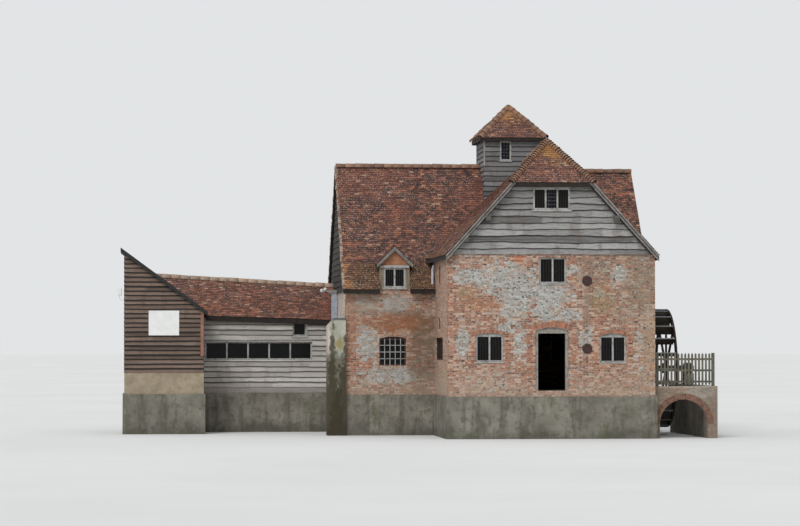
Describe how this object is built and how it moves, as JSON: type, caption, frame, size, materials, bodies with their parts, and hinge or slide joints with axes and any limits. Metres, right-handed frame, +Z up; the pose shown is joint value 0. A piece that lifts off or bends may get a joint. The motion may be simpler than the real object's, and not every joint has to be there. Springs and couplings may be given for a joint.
{
  "type": "watermill",
  "caption": "Brick and weatherboard watermill with a half-hipped cross wing, tiled roofs, a boarded tower, a side waterwheel over an arched race and a low boarded range",
  "frame": {"origin": "on the underside of the foundation, below the front left brick corner of the cross wing", "axes": "+X right along the front, +Y back through the building, +Z up"},
  "size_m": [21.3, 12.94, 12.48],
  "materials": {
    "render": "weathered grey render",
    "brick": "orange-red brick with worn limewash",
    "boards": "silver-grey weatherboard",
    "tile": "lichened clay plain tile",
    "felt": "black felt",
    "timber": "bare aged timber",
    "joinery": "pale grey paint, weathered",
    "iron": "rusted black iron",
    "glass": "old window glass"
  },
  "bodies": {
    "building": {"plinth": "render", "buttress": "render", "race_arch": "render", "race_side": "render", "wing_front_wall": "brick", "wing_left_wall": "brick", "wing_right_wall": "brick", "main_front_wall": "brick", "main_left_wall": "brick", "main_right_wall": "brick", "rear_wall": "brick", "gable_front": "boards", "gable_rear": "boards", "gable_left": "boards", "gable_right": "boards", "tower_walls": "boards", "annex_walls": "boards", "shed_walls": "boards", "wing_roof_front": "tile", "wing_roof_rear": "tile", "main_roof_left": "tile", "main_roof_right": "tile", "tower_roof": "tile", "dormer_roof": "tile", "ridge_caps": "tile", "tower_caps": "tile", "annex_roof": "tile", "shed_roof": "felt", "ground_floor": "timber", "first_floor": "timber", "attic_floor": "timber", "tower_floor": "timber", "annex_floor": "timber", "purlin_ends": "timber", "race_fence": "timber", "windows_wing": "joinery", "windows_rear": "joinery", "windows_tower": "joinery", "windows_annex": "joinery", "window_gable": "joinery", "window_lattice": "joinery", "window_dormer": "joinery", "door_frame": "joinery", "barge_boards": "joinery", "dormer_walls": "joinery", "sign_board": "joinery", "wall_ties": "iron", "window_grille": "iron", "bearing_wall": "iron", "bearing_pier": "iron", "glass_panes": "glass"},
    "waterwheel": {"wheel_rims": "iron", "wheel_arms": "iron", "wheel_floats": "timber", "wheel_shaft": "iron"}
  },
  "joints": [
    {"name": "wheel_turn", "type": "hinge", "parent": "building", "child": "waterwheel", "pos_m": [8.35, 5, 2.46], "axis": [1, 0, 0], "continuous": true}
  ]
}
